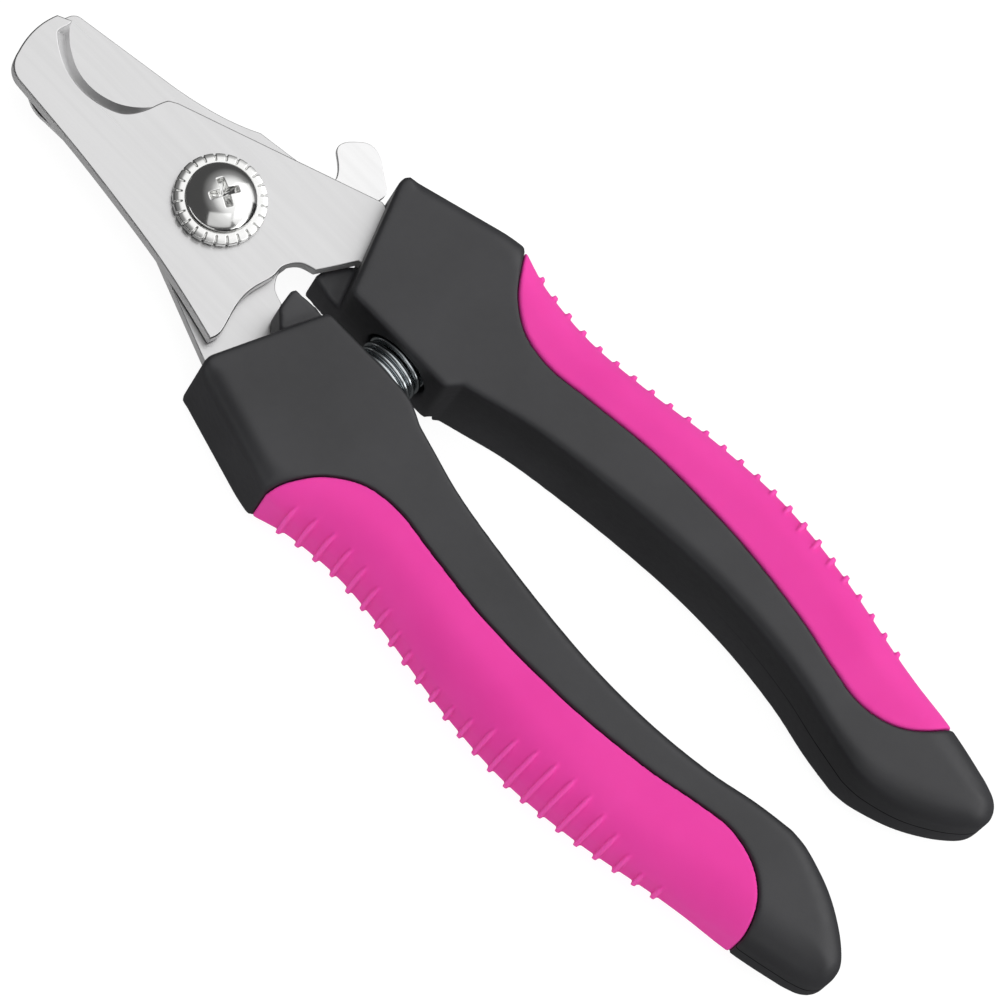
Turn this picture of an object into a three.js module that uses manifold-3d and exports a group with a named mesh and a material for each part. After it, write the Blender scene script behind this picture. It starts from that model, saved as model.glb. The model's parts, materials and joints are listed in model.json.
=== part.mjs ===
// Plier-type pet nail clipper, millimetres, +Z up, lying on its back with the screw head up.
// +X points to the blade tips and the handles run to -X. The two blades meet at the mid plane z = 0,
// and the pivot screw is the Z axis while the pieces are made. The last lines move the whole object
// so that the origin is the bottom centre of its box.
// The lower handle (+Y side) carries the rear counter blade, the upper handle (-Y side) the front hook blade.
import * as THREE from 'three';
import { mergeVertices } from 'three/addons/utils/BufferGeometryUtils.js';
import Module from 'manifold-3d';

const wasm = await Module();
wasm.setup();

// ---- driving dimensions ----
const GAP = 0.3;                    // clearance between touching pieces
const HANDLE_HALF = 7.75;           // half thickness of a handle at its head
const TAIL_THINNING = 0.14;         // share of the thickness lost at the tail
const THINNING_START = -62;         // x where a handle starts to get thinner
const TAIL_X = -127.4;              // x of the handle ends
const CURVE_STEPS = 2;              // straight steps per spline point on the handle outlines
const ARC_STEPS = 10;               // half of the straight steps in an arc of a sheet piece
const CORE_ROUND = 2.2;             // edge radius of the hard handle core
const GRIP_ROUND = 5.4;             // edge radius of the soft grip
const GRIP_SKIN = 2.2;              // thickness of the soft grip over the core's rail
const RIB_COUNT = 24;
const RIB_FIRST_X = -36.3;
const RIB_PITCH = 2.93;
const RIB_WIDTH = 0.8;
const RIB_PROUD = 0.5;
const BLADE_THICKNESS = 1.9;
const EDGE_LAND = 0.25;             // flat left at the cutting edge under the hollow grind
const GRIND_WIDTH = 1.8;            // width of the hollow grind
const SCREW_RADIUS = 2.45;
const HOLE_RADIUS = SCREW_RADIUS + GAP;
const RING_RADIUS = 6.3;
const RING_THICKNESS = 1.2;
const RING_NOTCHES = 24;
const DOME_RADIUS = 5.0;
const DOME_HEIGHT = 2.3;
const CROSS_ARM = 2.2;              // reach of each arm of the cross recess
const GUARD_THICKNESS = 0.8;
const WASHER_THICKNESS = 0.5;
const NUT_THICKNESS = 2.6;
const NUT_ACROSS_FLATS = 8.6;
const SPRING_X = -31;
const SPRING_Z = 0.4;
const SPRING_COIL_RADIUS = 4.2;     // to the middle of the wire
const SPRING_WIRE = 0.9;
const SPRING_TURNS = 12.5;
const POCKET_RADIUS = 5;
const POCKET_FLOOR = 8.2;           // distance of a pocket's floor from the mid line
const POST_RADIUS = 3;
const POST_TIP = 4.2;
const EAR_HEIGHT = 7.2;
const LOCK_PIVOT = [-23, 8.5];      // on the lower handle's back face
const LOCK_CATCH = [-23, -5];       // stud on the upper handle's back face
const LOCK_REACH = 17.3;
const LOCK_THICKNESS = 1.1;
const LOCK_RECESS = 2.2;            // depth of the recess in the back faces
const RIVET_RADIUS = 1.3;
const STUD_RADIUS = 1.5;

// ---- materials ----
const steel = new THREE.MeshStandardMaterial({ color: 0xd9dadb, roughness: 0.32, metalness: 1 });
const chrome = new THREE.MeshStandardMaterial({ color: 0xe6e7ea, roughness: 0.12, metalness: 1 });
const zinc = new THREE.MeshStandardMaterial({ color: 0xb4bcbf, roughness: 0.35, metalness: 1 });
const blackPlastic = new THREE.MeshStandardMaterial({ color: 0x2c2c2f, roughness: 0.5, metalness: 0 });
const pinkRubber = new THREE.MeshStandardMaterial({ color: 0xdc3496, roughness: 0.6, metalness: 0 });

// ---- solids and booleans ----
function toSolid(geometry) {
  const bare = geometry.clone();
  bare.deleteAttribute('normal');
  bare.deleteAttribute('uv');
  const welded = mergeVertices(bare, 1e-4);
  const corners = welded.index.array;
  const triangles = [];
  for (let i = 0; i < corners.length; i += 3) {
    const [a, b, c] = corners.slice(i, i + 3);
    if (a !== b && b !== c && c !== a) triangles.push(a, b, c);
  }
  return new wasm.Manifold(new wasm.Mesh({
    numProp: 3,
    vertProperties: new Float32Array(welded.attributes.position.array),
    triVerts: new Uint32Array(triangles),
  }));
}

function toGeometry(solid) {
  const mesh = solid.getMesh();
  const geometry = new THREE.BufferGeometry();
  geometry.setAttribute('position', new THREE.BufferAttribute(mesh.vertProperties, mesh.numProp));
  geometry.setIndex(new THREE.BufferAttribute(mesh.triVerts, 1));
  geometry.computeVertexNormals();
  return geometry;
}

function joinAll(solids) {
  return solids.reduce((whole, next) => whole.add(next));
}

// A plate with straight walls from z = low to z = high.
function plate(shape, low, high, curveSegments = 4) {
  const geometry = new THREE.ExtrudeGeometry(shape, { depth: high - low, bevelEnabled: false, curveSegments });
  geometry.translate(0, 0, low);
  return geometry;
}

// Inward direction at each point of a closed outline, long enough to keep mitred corners true.
function inwardVectors(outline) {
  const turn = THREE.ShapeUtils.isClockWise(outline) ? -1 : 1;
  const longestMitre = 1.5;
  return outline.map((point, i) => {
    const before = outline[(i + outline.length - 1) % outline.length];
    const after = outline[(i + 1) % outline.length];
    const into = point.clone().sub(before).normalize();
    const outOf = after.clone().sub(point).normalize();
    const normal = new THREE.Vector2(-into.y - outOf.y, into.x + outOf.x).normalize();
    const cosine = normal.dot(new THREE.Vector2(-into.y, into.x));
    return normal.multiplyScalar(turn * Math.min(longestMitre, 1 / cosine));
  });
}

// A slab centred on z = 0 whose edges are rounded inside the outline, grown by `proud` all round.
// Its walls are straight plate walls in layers, and each layer is drawn in by a quarter circle's profile.
function roundedSlab(shape, half, round, segments, proud = 0) {
  const layers = 2 * segments + 1;
  const geometry = new THREE.ExtrudeGeometry(shape, {
    depth: layers,
    steps: layers,
    bevelEnabled: false,
    curveSegments: CURVE_STEPS,
  });
  const outline = shape.getPoints(CURVE_STEPS);
  const vectors = inwardVectors(outline);
  const key = (x, y) => `${Math.fround(x)} ${Math.fround(y)}`;
  const inwardAt = new Map(outline.map((point, i) => [key(point.x, point.y), vectors[i]]));
  const position = geometry.attributes.position;
  for (let i = 0; i < position.count; i += 1) {
    const layer = Math.round(position.getZ(i));
    const upper = layer > segments;
    const fromFace = upper ? layers - layer : layer;
    const angle = (fromFace / segments) * Math.PI / 2;
    const height = half - round + (round + proud) * Math.cos(angle);
    const inset = round * (1 - Math.sin(angle)) - proud * Math.sin(angle);
    const inward = inwardAt.get(key(position.getX(i), position.getY(i)));
    position.setXYZ(
      i,
      position.getX(i) + inward.x * inset,
      position.getY(i) + inward.y * inset,
      upper ? height : -height,
    );
  }
  return geometry;
}

// A round bar along Z, Y or X, centred on the given point.
function bar(radius, length, centre, axis = 'z', sides = 28) {
  const geometry = new THREE.CylinderGeometry(radius, radius, length, sides);
  if (axis === 'z') geometry.rotateX(Math.PI / 2);
  if (axis === 'x') geometry.rotateZ(Math.PI / 2);
  geometry.translate(...centre);
  return geometry;
}

function block(size, centre) {
  const geometry = new THREE.BoxGeometry(...size);
  geometry.translate(...centre);
  return geometry;
}

function points(list) {
  return list.map(([x, y]) => new THREE.Vector2(x, y));
}

// The same outline moved outwards by `distance`.
function grown(shape, distance) {
  const outline = shape.getPoints(CURVE_STEPS);
  const vectors = inwardVectors(outline);
  return new THREE.Shape(outline.map((point, i) => point.clone().addScaledVector(vectors[i], -distance)));
}

// Side view of a handle as a solid: full thickness at the head, thinner towards the tail, even about z = 0.
function sideEnvelope(half) {
  const tailHalf = half * (1 - TAIL_THINNING);
  const shape = new THREE.Shape();
  const knee = (THINNING_START + TAIL_X) / 2;
  shape.moveTo(0, half);
  shape.lineTo(THINNING_START, half);
  shape.quadraticCurveTo(knee, half, TAIL_X - 2, tailHalf);
  shape.lineTo(TAIL_X - 2, -tailHalf);
  shape.quadraticCurveTo(knee, -half, THINNING_START, -half);
  shape.lineTo(0, -half);
  const geometry = plate(shape, -40, 40);
  geometry.rotateX(Math.PI / 2);
  return toSolid(geometry);
}

function handleSlab(shape, half, round, segments, proud = 0) {
  const slab = toSolid(roundedSlab(shape, half, round, segments, proud));
  return slab.intersect(sideEnvelope(half + proud));
}

// Outlines below are drawn for the +Y (lower) handle; the -Y side is the same turned half a turn about X.
const OUTER_EDGE = points([[-31.5, 24.9], [-39.5, 23.6], [-47, 23.1], [-56, 24], [-67, 25.7], [-79, 26.5],
  [-91, 25.4], [-104, 22.8], [-116, 20.7], [-123.5, 19]]);
const INNER_EDGE = points([[-110.2, 5.9], [-104, 7.1], [-97, 8.7], [-88, 9.8], [-78, 10], [-67, 9.2], [-56, 7.9],
  [-49, 6.7], [-43, 5], [-39.6, 4]]);
const HEAD_WALL_Y = 2;               // inner wall of a handle's head, from the mid line

function outerEdgeY(x) {
  const curve = new THREE.SplineCurve(OUTER_EDGE);
  const samples = curve.getPoints(160);
  const found = samples.find((point) => point.x <= x) ?? samples[samples.length - 1];
  return found.y;
}

// A boxed head keeps its straight inner wall past the spring, up to a step at the waist.
function handleShape(boxed) {
  const shape = new THREE.Shape();
  shape.moveTo(-20.4, 3);
  shape.lineTo(-14.6, 17.6);
  shape.quadraticCurveTo(-14, 19.6, -16.4, 20.4);
  shape.lineTo(OUTER_EDGE[0].x, OUTER_EDGE[0].y);
  shape.splineThru(OUTER_EDGE.slice(1));
  shape.splineThru(points([[-125.8, 18.1], [-127.1, 16.8], [-127.4, 15.1], [-126.6, 13.2]]));
  shape.splineThru(points([[-123.5, 10.4], [-118.9, 7.7], [-113.6, 6.1]]));
  shape.lineTo(INNER_EDGE[0].x, INNER_EDGE[0].y);
  shape.splineThru(INNER_EDGE.slice(1));
  if (boxed) {
    shape.lineTo(-38.4, 2.4);
    shape.quadraticCurveTo(-38.1, HEAD_WALL_Y, -37.6, HEAD_WALL_Y);
  } else {
    shape.splineThru(points([[-36, 2.4], [-31, HEAD_WALL_Y]]));
  }
  shape.lineTo(-21.6, HEAD_WALL_Y);
  shape.quadraticCurveTo(-20.8, 2, -20.4, 3);
  return shape;
}

// Area of the handle's face that the soft grip covers, drawn well past the outer edge.
function gripArea() {
  const shape = new THREE.Shape();
  const outside = 34;
  shape.moveTo(-31.4, outside);
  shape.lineTo(-31.8, 25.4);
  shape.splineThru(points([[-33.4, 22], [-36.2, 18.2], [-40.5, 15.3], [-46, 14.5], [-53, 15.4], [-64, 16.6],
    [-78, 16.5], [-91, 15], [-99, 13.3], [-104.5, 12.5], [-109.5, 13.6], [-113.2, 16.4], [-115.6, 20.6],
    [-116.4, 25]]));
  shape.lineTo(-117, outside);
  return shape;
}

// The grip's blank: the handle's outer edge, with a straight back far from the grip area.
function gripBlankShape() {
  const shape = new THREE.Shape();
  shape.moveTo(-24, 1);
  shape.lineTo(-24, 21.6);
  shape.lineTo(OUTER_EDGE[0].x, OUTER_EDGE[0].y);
  shape.splineThru(OUTER_EDGE.slice(1));
  shape.lineTo(-126, 1);
  return shape;
}

// How far each rib reaches in from the outer edge: short in the waist, longest near the palm swell.
function ribReach(index) {
  const nearHead = 0.8 * Math.exp(-(((index - 2) / 4.5) ** 2));
  const nearPalm = 2.6 * Math.exp(-(((index - 16.5) / 4) ** 2));
  return 0.5 + nearHead + nearPalm;
}

function ribs() {
  const slabs = [];
  for (let i = 0; i < RIB_COUNT; i += 1) {
    const x = RIB_FIRST_X - RIB_PITCH * i;
    const reach = ribReach(i);
    const past = 2;
    slabs.push(toSolid(block([RIB_WIDTH, reach + past, 20], [x, outerEdgeY(x) + (past - reach) / 2, 0])));
  }
  const skin = handleSlab(gripBlankShape(), HANDLE_HALF, GRIP_ROUND, 2, RIB_PROUD);
  return joinAll(slabs).intersect(skin).intersect(sideEnvelope(HANDLE_HALF));
}

// Soft grip: the rounded outer side of the handle, hollow where the core's rail runs through it.
function gripSolid() {
  const blank = handleSlab(gripBlankShape(), HANDLE_HALF, GRIP_ROUND, 3);
  const area = toSolid(plate(gripArea(), -12, 12, CURVE_STEPS));
  return blank.add(ribs()).intersect(area).subtract(railSolid(GAP));
}

// Rail of the core inside the grip, the blank shrunk by the grip's skin, grown again by `clearance`.
function railSolid(clearance) {
  const half = HANDLE_HALF - GRIP_SKIN;
  const round = GRIP_ROUND - GRIP_SKIN;
  return handleSlab(gripBlankShape(), half, round, 2, clearance).translate([0, -GRIP_SKIN, 0]);
}

// Wedge of the handle's head that reaches towards the pivot on one side of the mid plane.
function earSolid() {
  const shape = new THREE.Shape(points([[-22, 2.2], [-19, 2.2], [-15.6, 2.9], [-15.4, 3.4], [-15.9, 6.1], [-18.2, 8.2],
    [-22, 8.2]]));
  const ear = toSolid(plate(shape, 0, EAR_HEIGHT));
  const slope = block([9, 14, 4], [0, 0, 2]);
  slope.rotateY(-0.32);
  slope.translate(-18, 5, EAR_HEIGHT - 0.9);
  return ear.subtract(toSolid(slope));
}

// Hard core of a handle: the head, the waist, the tail and the rail under the grip.
function coreSolid(boxed) {
  const body = handleSlab(handleShape(boxed), HANDLE_HALF, CORE_ROUND, 2);
  const clearArea = toSolid(plate(grown(gripArea(), GAP), -12, 12));
  const railArea = toSolid(plate(grown(gripArea(), 2), -12, 12));
  const rail = railSolid(0).intersect(railArea);
  return body.subtract(clearArea).add(rail).add(earSolid());
}

// Tang of a blade inside the handle's head, grown by `clearance`.
function tangShape(clearance) {
  const c = clearance;
  return new THREE.Shape(points([[-12, 16 + c], [-14.4, 16.4 + c], [-24, 15.4 + c], [-40 - c, 13.2 + c],
    [-40 - c, 10.2 - c], [-24, 8.6 - c], [-18, 8 - c], [-15.5, 4 - c], [-12, 4]]));
}

// The tang's slot lies on the far side of the mid plane from the ear.
function tangSlot() {
  return toSolid(plate(tangShape(GAP), -GAP / 2 - BLADE_THICKNESS - GAP, GAP / 2));
}

function turned(solid) {
  return solid.rotate([180, 0, 0]);
}

// Pocket for one end of the return spring, with a post in its middle; side is +1 or -1.
function springPocket(side) {
  const reach = POCKET_FLOOR;
  const pocket = toSolid(bar(POCKET_RADIUS, reach, [SPRING_X, side * reach / 2, SPRING_Z], 'y'));
  const post = toSolid(bar(POST_RADIUS, reach, [SPRING_X, side * (POST_TIP + reach / 2), SPRING_Z], 'y', 20));
  return pocket.subtract(post);
}

// Recess in the back faces that the lock lever swings through; wider on the upper handle, which can close further.
function lockRecess(radius) {
  const [x, y] = LOCK_PIVOT;
  const margin = 3.6;
  const shape = new THREE.Shape();
  shape.moveTo(x + margin, y - radius);
  shape.lineTo(x + margin, y);
  shape.absarc(x, y, margin, 0, Math.PI / 2, false);
  shape.lineTo(x - radius, y + margin);
  shape.lineTo(x - radius, y);
  shape.absarc(x, y, radius, Math.PI, 1.5 * Math.PI, false);
  return toSolid(plate(shape, -HANDLE_HALF - 1, LOCK_RECESS - HANDLE_HALF));
}

function lowerCore() {
  const rivetHole = toSolid(bar(RIVET_RADIUS + GAP, 8, [...LOCK_PIVOT, -HANDLE_HALF + 1.5]));
  return coreSolid(false)
    .subtract(tangSlot())
    .subtract(springPocket(1))
    .subtract(lockRecess(LOCK_REACH + 0.8))
    .subtract(rivetHole);
}

function upperCore() {
  const studHole = toSolid(bar(STUD_RADIUS + GAP, 6, [...LOCK_CATCH, -HANDLE_HALF + 1.5]));
  return turned(coreSolid(true).subtract(tangSlot()))
    .subtract(springPocket(-1))
    .subtract(lockRecess(LOCK_REACH + 2.6))
    .subtract(studHole);
}

// ---- blades ----
const MOUTH_EDGE = [[28.4, -1.1], [25.3, 0.5], [22, 0.8], [18.7, -0.2], [16.1, -2.3], [14.3, -5]];
const RELIEF_EDGE = [[-12.7, 12.4], [-11.5, 8.2], [-11.3, 5.4], [-11.9, 2], [-11.9, -0.2], [-13.1, -2.1],
  [-15.1, -2.9]];
const TANG_BACK = [[-18, -8], [-24, -8.9], [-40, -10.5], [-40, -12.9], [-24, -15.1], [-14.4, -16.4]];

function hookBladeShape() {
  const shape = new THREE.Shape();
  shape.moveTo(30.6, -3.2);
  shape.lineTo(32.4, -2.3);
  shape.quadraticCurveTo(33.6, 1.2, 32.2, 5.2);
  shape.quadraticCurveTo(31.6, 7.6, 29.4, 8);
  shape.splineThru(points([[16, 9.2], [2, 11.1], [-6, 12.7], [-12.4, 14.3]]));
  shape.splineThru(points(RELIEF_EDGE));
  TANG_BACK.forEach(([x, y]) => shape.lineTo(x, y));
  shape.lineTo(13.2, -5.7);
  shape.lineTo(14.3, -5);
  shape.splineThru(points([...MOUTH_EDGE].reverse().slice(1).concat([[30.6, -3.2]])));
  return shape;
}

// Space in front of the hook's cutting edge, used to grind the edge.
function mouthShape() {
  const shape = new THREE.Shape();
  shape.moveTo(30.6, -3.2);
  shape.splineThru(points(MOUTH_EDGE));
  shape.lineTo(17, -11);
  shape.lineTo(32, -10);
  return shape;
}

// Cutting edge of the counter blade: a shallow hollow that stays hidden behind the hook when closed.
const COUNTER_EDGE = [[16.8, 2.8], [19.2, 1.6], [22.3, 1.2], [25.6, 1.5], [28.6, 2.5], [30.6, 3.8]];

function counterBladeShape() {
  const shape = new THREE.Shape();
  shape.moveTo(14.4, 5);
  shape.splineThru(points(COUNTER_EDGE));
  shape.quadraticCurveTo(33.2, 0.4, 31.6, -4.2);
  shape.quadraticCurveTo(31.2, -5.2, 30.2, -5.3);
  shape.lineTo(15.3, -7.8);
  shape.quadraticCurveTo(8, -9.2, 3.3, -11.9);
  shape.lineTo(-12.4, -14.3);
  shape.splineThru(points(RELIEF_EDGE.map(([x, y]) => [x, -y])));
  TANG_BACK.forEach(([x, y]) => shape.lineTo(x, -y));
  return shape;
}

function counterGapShape() {
  const shape = new THREE.Shape();
  shape.moveTo(14.4, 5);
  shape.splineThru(points(COUNTER_EDGE));
  shape.lineTo(33, 12);
  shape.lineTo(12, 12);
  return shape;
}

// Hollow grind: widens from nothing just above the land to GRIND_WIDTH at the blade's face.
function grind(shape) {
  const geometry = new THREE.ExtrudeGeometry(shape, {
    depth: 3,
    bevelEnabled: true,
    bevelSize: GRIND_WIDTH,
    bevelThickness: BLADE_THICKNESS - EDGE_LAND,
    bevelSegments: 2,
    curveSegments: 4,
  });
  geometry.translate(0, 0, GAP / 2 + BLADE_THICKNESS);
  return toSolid(geometry);
}

function bladeSolid(shape, grindSolid) {
  const low = GAP / 2;
  const blank = toSolid(plate(shape, low, low + BLADE_THICKNESS));
  const hole = toSolid(bar(HOLE_RADIUS, 8, [0, 0, 0]));
  return blank.subtract(hole).subtract(grindSolid);
}

function frontBlade() {
  return bladeSolid(hookBladeShape(), grind(mouthShape()));
}

// Made face up at the front blade's level, then mirrored through the mid plane.
function rearBlade() {
  const faceUp = bladeSolid(counterBladeShape(), grind(counterGapShape()));
  return faceUp.mirror([0, 0, 1]);
}

// ---- pivot stack, from the front ring down to the nut ----
const BLADE_TOP = GAP / 2 + BLADE_THICKNESS;
const RING_BOTTOM = BLADE_TOP + GAP;
const HEAD_BOTTOM = RING_BOTTOM + RING_THICKNESS + GAP;
const GUARD_TOP = -BLADE_TOP - GAP;
const WASHER_TOP = GUARD_TOP - GUARD_THICKNESS - GAP;
const NUT_TOP = WASHER_TOP - WASHER_THICKNESS - GAP;
const SCREW_END = NUT_TOP - NUT_THICKNESS - 0.3;

function pivotScrew() {
  const profile = [[0, SCREW_END], [SCREW_RADIUS - 0.4, SCREW_END], [SCREW_RADIUS, SCREW_END + 0.4],
    [SCREW_RADIUS, HEAD_BOTTOM], [DOME_RADIUS, HEAD_BOTTOM], [DOME_RADIUS, HEAD_BOTTOM + 0.4]];
  const domeSteps = 5;
  for (let i = 1; i <= domeSteps; i += 1) {
    const angle = (i / domeSteps) * Math.PI / 2;
    const radius = i === domeSteps ? 0 : DOME_RADIUS * Math.cos(angle);
    profile.push([radius, HEAD_BOTTOM + 0.4 + (DOME_HEIGHT - 0.4) * Math.sin(angle)]);
  }
  const geometry = new THREE.LatheGeometry(points(profile), 32);
  geometry.rotateX(Math.PI / 2);
  const crossDepth = 1.5;
  const armWidth = 1.05;
  const crossMiddle = HEAD_BOTTOM + DOME_HEIGHT;
  let solid = toSolid(geometry);
  [Math.PI / 4, -Math.PI / 4].forEach((angle) => {
    const arm = block([2 * CROSS_ARM, armWidth, 2 * crossDepth], [0, 0, 0]);
    arm.rotateZ(angle);
    arm.translate(0, 0, crossMiddle);
    solid = solid.subtract(toSolid(arm));
  });
  return solid;
}

function serratedRing() {
  const top = RING_BOTTOM + RING_THICKNESS;
  const profile = [[HOLE_RADIUS, RING_BOTTOM], [RING_RADIUS, RING_BOTTOM], [RING_RADIUS, top - 0.3],
    [RING_RADIUS - 0.3, top], [HOLE_RADIUS, top], [HOLE_RADIUS, RING_BOTTOM]];
  const geometry = new THREE.LatheGeometry(points(profile), 36);
  geometry.rotateX(Math.PI / 2);
  const notches = [];
  for (let i = 0; i < RING_NOTCHES; i += 1) {
    const notch = block([1.4, 0.35, 0.9], [RING_RADIUS, 0, top]);
    notch.rotateZ((i + 0.5) * 2 * Math.PI / RING_NOTCHES);
    notches.push(toSolid(notch));
  }
  return toSolid(geometry).subtract(joinAll(notches));
}

function springWasher() {
  const outer = 5.2;
  const dish = 0.2;
  const low = WASHER_TOP - WASHER_THICKNESS;
  const profile = [[HOLE_RADIUS, low + dish], [outer, low], [outer, WASHER_TOP - dish], [HOLE_RADIUS, WASHER_TOP],
    [HOLE_RADIUS, low + dish]];
  const geometry = new THREE.LatheGeometry(points(profile), 32);
  return geometry.rotateX(Math.PI / 2);
}

function pivotNut() {
  const corner = NUT_ACROSS_FLATS / Math.sqrt(3);
  const middle = NUT_TOP - NUT_THICKNESS / 2;
  const hex = toSolid(bar(corner, NUT_THICKNESS, [0, 0, middle], 'z', 6));
  return hex.subtract(toSolid(bar(HOLE_RADIUS, 8, [0, 0, middle])));
}

// Sheet guard behind the blades: round stop behind the mouth, hub on the screw, thumb tab beside the handle.
function guardPlate() {
  const stop = { x: 24.6, y: 2.2, r: 5.5 };
  const hubRadius = 8;
  const shape = new THREE.Shape();
  shape.absarc(stop.x, stop.y, stop.r, -0.45 * Math.PI, 0.55 * Math.PI, false);
  shape.lineTo(4, 6.93);
  shape.absarc(0, 0, hubRadius, Math.PI / 3, 1.02 * Math.PI, false);
  shape.lineTo(-13.2, -12.5);
  shape.lineTo(-13.6, -19);
  shape.lineTo(-9.6, -22.4);
  shape.quadraticCurveTo(-7.4, -23.6, -5.9, -21.8);
  shape.quadraticCurveTo(-3.6, -19.6, -5.2, -18.4);
  shape.lineTo(-7.8, -16.2);
  shape.lineTo(-6.4, -12);
  shape.quadraticCurveTo(-4, -7.6, 3, -7.4);
  shape.lineTo(22, -2.9);
  const hole = new THREE.Path();
  hole.absarc(0, 0, HOLE_RADIUS, 0, 2 * Math.PI, true);
  shape.holes.push(hole);
  return plate(shape, GUARD_TOP - GUARD_THICKNESS, GUARD_TOP, ARC_STEPS);
}

// ---- return spring ----
class CoilCurve extends THREE.Curve {
  getPoint(t, target = new THREE.Vector3()) {
    const angle = t * SPRING_TURNS * 2 * Math.PI;
    const halfLength = POCKET_FLOOR - GAP - SPRING_WIRE / 2;
    return target.set(
      SPRING_X + SPRING_COIL_RADIUS * Math.cos(angle),
      (2 * t - 1) * halfLength,
      SPRING_Z + SPRING_COIL_RADIUS * Math.sin(angle),
    );
  }
}

function returnSpring() {
  const wire = new THREE.Shape();
  wire.absarc(0, 0, SPRING_WIRE / 2, 0, 2 * Math.PI, false);
  const stepsPerTurn = 12;
  return new THREE.ExtrudeGeometry(wire, {
    steps: Math.round(SPRING_TURNS * stepsPerTurn),
    curveSegments: 3,
    bevelEnabled: false,
    extrudePath: new CoilCurve(),
  });
}

// ---- lock: lever, rivet and catch stud on the back ----
const RECESS_FLOOR = LOCK_RECESS - HANDLE_HALF;
const LEVER_TOP = RECESS_FLOOR - GAP;
const LEVER_BOTTOM = LEVER_TOP - LOCK_THICKNESS;

// Drawn in its locked position, pointing to -Y with the hook's mouth open to +X, then swung back a quarter turn.
function lockLever() {
  const shape = new THREE.Shape();
  const halfWidth = 3.1;
  const spine = -2;
  const catchY = LOCK_CATCH[1] - LOCK_PIVOT[1];
  const mouthLow = catchY - STUD_RADIUS - GAP;
  const mouthHigh = catchY + STUD_RADIUS + 2.7;
  shape.absarc(0, 0, halfWidth, 0, Math.PI, false);
  shape.lineTo(-halfWidth, 1.4 - LOCK_REACH);
  shape.quadraticCurveTo(-halfWidth, 0.2 - LOCK_REACH, 1 - halfWidth, 0.2 - LOCK_REACH);
  shape.lineTo(halfWidth - 1.2, 0.2 - LOCK_REACH);
  shape.lineTo(halfWidth - 0.2, mouthLow);
  shape.lineTo(spine, mouthLow);
  shape.lineTo(spine, mouthHigh);
  shape.lineTo(halfWidth, mouthHigh + 1.6);
  const hole = new THREE.Path();
  hole.absarc(0, 0, RIVET_RADIUS + GAP, 0, 2 * Math.PI, true);
  shape.holes.push(hole);
  const geometry = plate(shape, LEVER_BOTTOM, LEVER_TOP, ARC_STEPS);
  geometry.rotateZ(-Math.PI / 2);
  return geometry.translate(...LOCK_PIVOT, 0);
}

function headedPin(shankRadius, headRadius, place, headBottom, headTop, tip) {
  const profile = [[0, headBottom], [headRadius - 0.2, headBottom], [headRadius, headBottom + 0.2],
    [headRadius, headTop], [shankRadius, headTop], [shankRadius, tip], [0, tip]];
  const geometry = new THREE.LatheGeometry(points(profile), 24);
  geometry.rotateX(Math.PI / 2);
  return geometry.translate(...place, 0);
}

function lockRivet() {
  return headedPin(RIVET_RADIUS, 2.7, LOCK_PIVOT, LEVER_BOTTOM - GAP - 0.45, LEVER_BOTTOM - GAP, -2.6);
}

function lockStud() {
  return bar(STUD_RADIUS, 3.6, [...LOCK_CATCH, LEVER_BOTTOM + 1.5], 'z', 24);
}

// ---- assembly ----
const group = new THREE.Group();

function addPiece(name, made, material) {
  const geometry = made.isBufferGeometry ? made : toGeometry(made);
  const mesh = new THREE.Mesh(geometry, material);
  mesh.name = name;
  group.add(mesh);
}

const grip = gripSolid();
addPiece('lower_handle_core', lowerCore(), blackPlastic);
addPiece('upper_handle_core', upperCore(), blackPlastic);
addPiece('lower_grip', grip, pinkRubber);
addPiece('upper_grip', turned(grip), pinkRubber);
addPiece('front_hook_blade', frontBlade(), steel);
addPiece('rear_counter_blade', rearBlade(), steel);
addPiece('pivot_screw', pivotScrew(), chrome);
addPiece('serrated_ring', serratedRing(), chrome);
addPiece('guard_plate', guardPlate(), steel);
addPiece('spring_washer', springWasher(), zinc);
addPiece('pivot_nut', pivotNut(), zinc);
addPiece('return_spring', returnSpring(), zinc);
addPiece('lock_lever', lockLever(), steel);
addPiece('lock_rivet', lockRivet(), zinc);
addPiece('lock_catch_stud', lockStud(), zinc);

const box = new THREE.Box3().setFromObject(group);
const middle = box.getCenter(new THREE.Vector3());
group.children.forEach((mesh) => mesh.geometry.translate(-middle.x, -middle.y, -box.min.z));

export default group;
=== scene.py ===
import json
import math

import bpy
import numpy as np
from mathutils import Matrix, Vector
from mathutils.geometry import tessellate_polygon


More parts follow.
